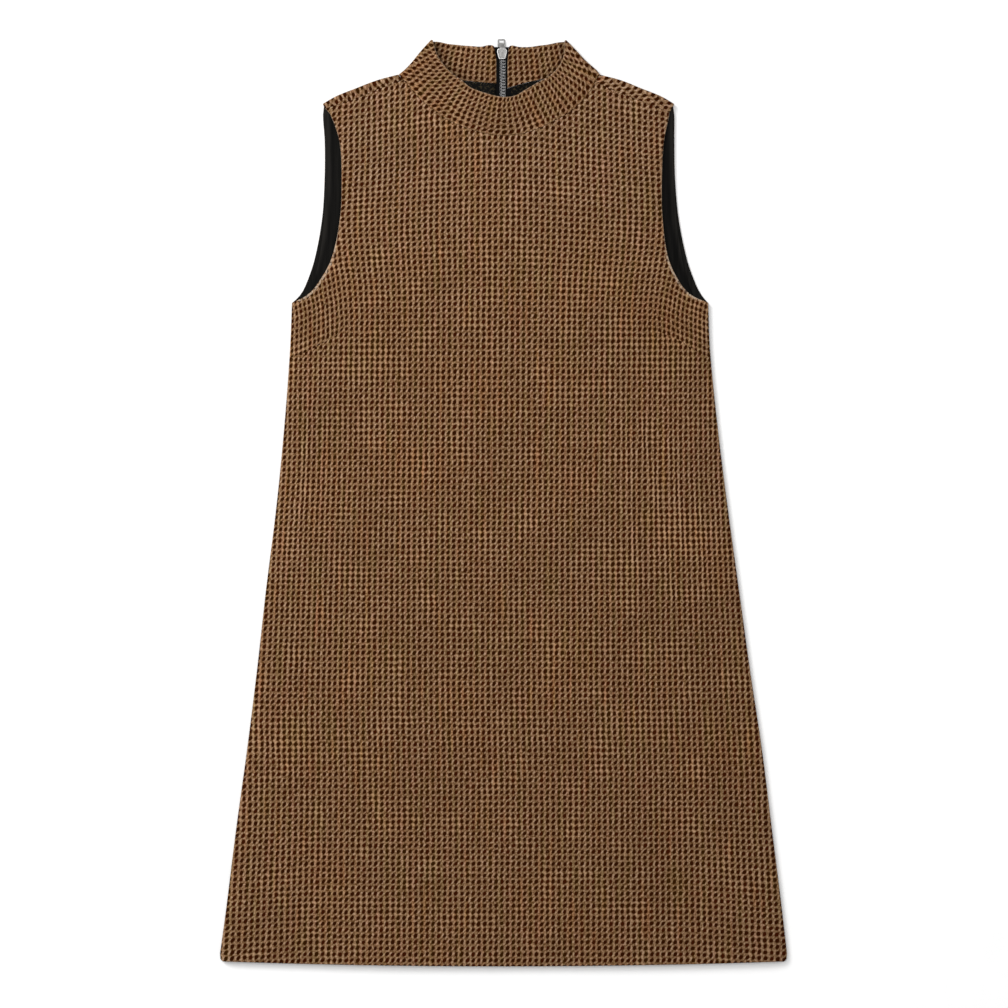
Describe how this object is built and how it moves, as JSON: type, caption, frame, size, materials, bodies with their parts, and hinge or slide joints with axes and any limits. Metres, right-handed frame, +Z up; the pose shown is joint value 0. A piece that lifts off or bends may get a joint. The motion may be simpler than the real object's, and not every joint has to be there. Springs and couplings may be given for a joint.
{
  "type": "a-line dress",
  "caption": "Sleeveless a-line mini dress in a small dotted check tweed, with a stand-up collar and an exposed back zip, laid flat with its front up.",
  "frame": {"origin": "centre of the dress's box, on the surface it lies on", "axes": "+Z up out of the dress's front, +Y from hem to neck, +X to the right as seen from above (the wearer's left)"},
  "size_m": [0.5667, 0.9278, 0.0098],
  "materials": {
    "tweed": "woollen tweed, dark brown dots in a small check on tan",
    "lining": "black satin lining",
    "zip_tape": "black woven tape",
    "zip_teeth": "nickel-plated teeth",
    "zip_slider_metal": "bright nickel plating"
  },
  "bodies": {
    "garment": {"front_panel": "tweed", "back_panel_left": "tweed", "back_panel_right": "tweed", "collar": "tweed", "back_lining_left": "lining", "back_lining_right": "lining", "zip_tape_left": "zip_tape", "zip_tape_right": "zip_tape", "zip_chain": "zip_teeth", "zip_bottom_stop": "zip_teeth", "zip_slider": "zip_slider_metal"},
    "pull": {"zip_pull": "zip_slider_metal"}
  },
  "joints": [
    {"name": "pull_flip", "type": "hinge", "parent": "garment", "child": "pull", "pos_m": [-0.001, 0.4484, 0.00188], "axis": [-1, 0, 0], "range_deg": [0, 175]}
  ]
}
